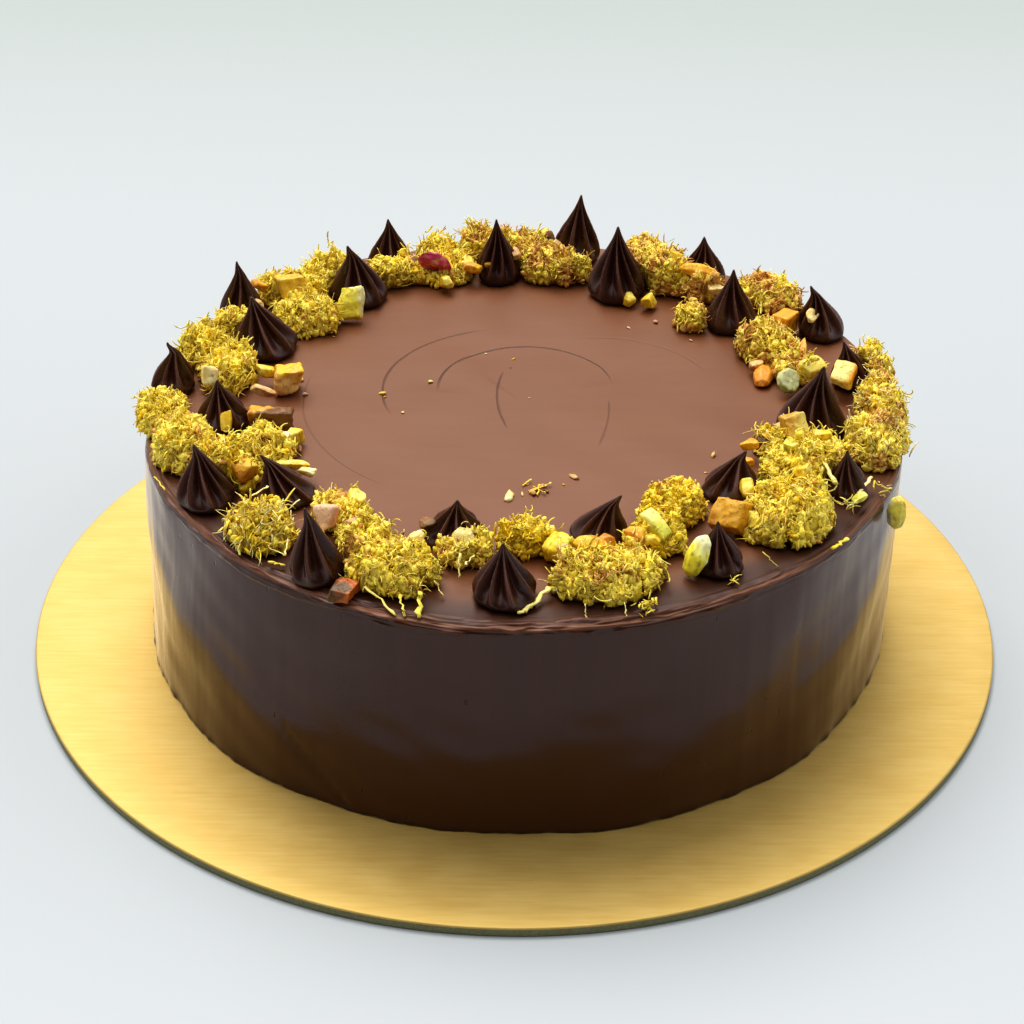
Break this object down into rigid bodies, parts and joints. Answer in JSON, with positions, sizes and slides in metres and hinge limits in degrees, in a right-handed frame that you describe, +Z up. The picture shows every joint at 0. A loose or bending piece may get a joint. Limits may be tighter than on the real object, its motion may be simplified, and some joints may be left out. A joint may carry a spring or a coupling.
{
  "type": "chocolate kunafa cake",
  "caption": "Round chocolate-iced layer cake on a gold card, edged on top with piped ganache stars, clumps of kunafa pastry and pieces of pistachio.",
  "frame": {"origin": "middle of the underside of the gold card", "axes": "+Z up; -Y points to the front of the cake as the picture shows it"},
  "size_m": [0.3048, 0.3048, 0.0973],
  "materials": {
    "gold_foil_card": "satin gold foil over thick card",
    "cake_icing": "scraped chocolate ganache, soft satin",
    "piped_ganache": "dark piped ganache with a wet sheen",
    "kunafa_strands": "dry toasted pastry strands",
    "pistachio": "chopped nut, waxy where cut",
    "rose_petal": "dried petal"
  },
  "bodies": {
    "root": {"gold_card": "gold_foil_card", "iced_cake": "cake_icing", "star_inner_1": "piped_ganache", "star_inner_2": "piped_ganache", "star_inner_3": "piped_ganache", "star_inner_4": "piped_ganache", "star_inner_5": "piped_ganache", "star_inner_6": "piped_ganache", "star_inner_7": "piped_ganache", "star_inner_8": "piped_ganache", "star_inner_9": "piped_ganache", "star_inner_10": "piped_ganache", "star_inner_11": "piped_ganache", "star_outer_1": "piped_ganache", "star_outer_2": "piped_ganache", "star_outer_3": "piped_ganache", "star_outer_4": "piped_ganache", "star_outer_5": "piped_ganache", "star_outer_6": "piped_ganache", "star_outer_7": "piped_ganache", "star_outer_8": "piped_ganache", "star_outer_9": "piped_ganache", "star_outer_10": "piped_ganache", "star_outer_11": "piped_ganache", "star_outer_12": "piped_ganache", "kunafa_1": "kunafa_strands", "kunafa_2": "kunafa_strands", "kunafa_3": "kunafa_strands", "kunafa_4": "kunafa_strands", "kunafa_5": "kunafa_strands", "kunafa_6": "kunafa_strands", "kunafa_7": "kunafa_strands", "kunafa_8": "kunafa_strands", "kunafa_9": "kunafa_strands", "kunafa_10": "kunafa_strands", "kunafa_11": "kunafa_strands", "kunafa_12": "kunafa_strands", "kunafa_13": "kunafa_strands", "kunafa_14": "kunafa_strands", "kunafa_15": "kunafa_strands", "kunafa_16": "kunafa_strands", "kunafa_17": "kunafa_strands", "kunafa_18": "kunafa_strands", "pistachio_half": "pistachio", "pistachio_square": "pistachio", "pistachio_leaning": "pistachio", "pistachio_beige": "pistachio", "pistachio_brown": "pistachio", "pistachio_cube": "pistachio", "pistachio_amber": "pistachio", "pistachio_slice": "pistachio", "pistachio_wedge": "pistachio", "pistachio_orange": "pistachio", "pistachio_yellow": "pistachio", "pistachio_sliver": "pistachio", "pistachio_long": "pistachio", "pistachio_side": "pistachio", "pistachio_toasted": "pistachio", "pistachio_rim": "pistachio", "rose_petal": "rose_petal"}
  },
  "joints": []
}
